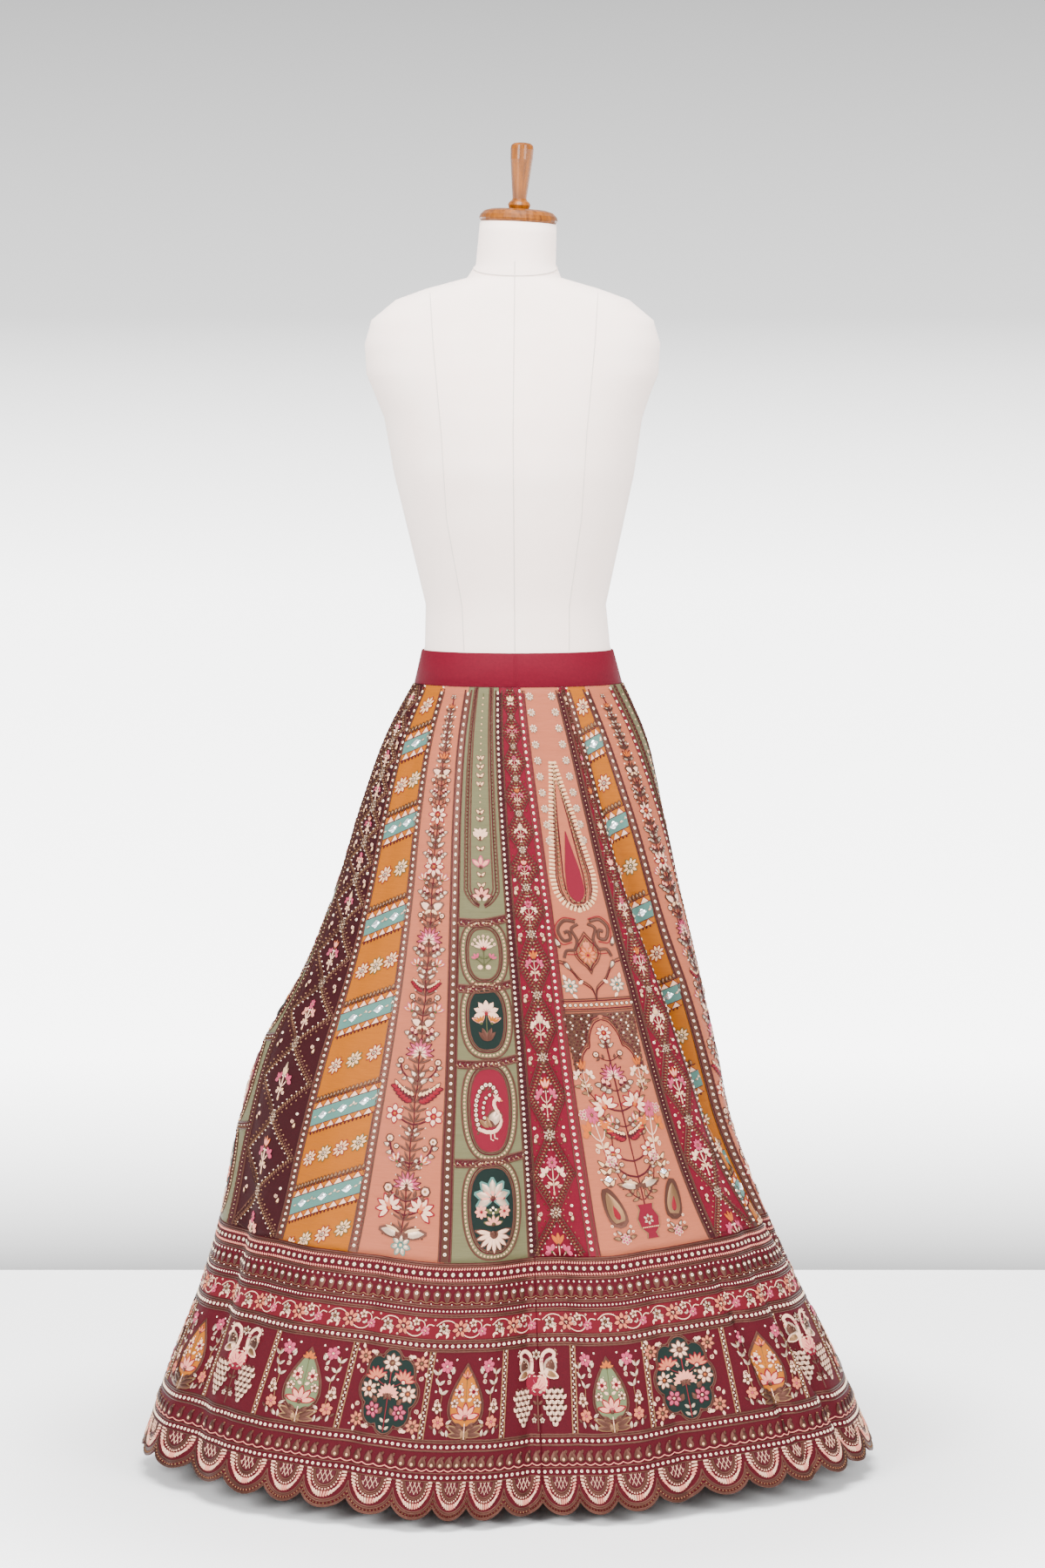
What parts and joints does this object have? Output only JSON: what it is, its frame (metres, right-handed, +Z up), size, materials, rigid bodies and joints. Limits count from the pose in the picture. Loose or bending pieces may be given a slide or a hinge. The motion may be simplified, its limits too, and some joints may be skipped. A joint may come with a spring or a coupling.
{
  "type": "lehenga skirt on dress form",
  "caption": "Flared lehenga skirt of narrow kalis with a deep scalloped border, standing on a limbless cloth dress form with a turned neck cap.",
  "frame": {"origin": "on the form's axis, on the underside of the stand's base", "axes": "+Z up along the form's axis, -Y towards the front of the skirt, +X to the viewer's right"},
  "size_m": [0.8894, 0.6978, 1.5937],
  "materials": {
    "mustard_silk": "woven silk",
    "peach_silk": "woven silk",
    "sage_silk": "woven silk",
    "crimson_velvet": "velvet",
    "maroon_velvet": "velvet",
    "form_cloth": "plain cotton",
    "varnished_wood": "varnished"
  },
  "bodies": {
    "root": {"kali_01_sage": "sage_silk", "kali_02_maroon": "maroon_velvet", "kali_03_mustard": "mustard_silk", "kali_04_peach": "peach_silk", "kali_05_sage": "sage_silk", "kali_06_crimson": "crimson_velvet", "kali_07_peach": "peach_silk", "kali_08_crimson": "crimson_velvet", "kali_09_mustard": "mustard_silk", "kali_10_peach": "peach_silk", "kali_11_sage": "sage_silk", "kali_12_maroon": "maroon_velvet", "kali_13_mustard": "mustard_silk", "kali_14_peach": "peach_silk", "kali_15_sage": "sage_silk", "kali_16_crimson": "crimson_velvet", "kali_17_peach": "peach_silk", "kali_18_crimson": "crimson_velvet", "kali_19_mustard": "mustard_silk", "kali_20_peach": "peach_silk", "border_front_right": "maroon_velvet", "border_back_right": "maroon_velvet", "border_back_left": "maroon_velvet", "border_front_left": "maroon_velvet", "waistband": "crimson_velvet", "form_torso": "form_cloth", "form_neck_cap": "varnished_wood", "form_finial": "varnished_wood", "stand_pole": "varnished_wood", "stand_base": "varnished_wood"}
  },
  "joints": []
}
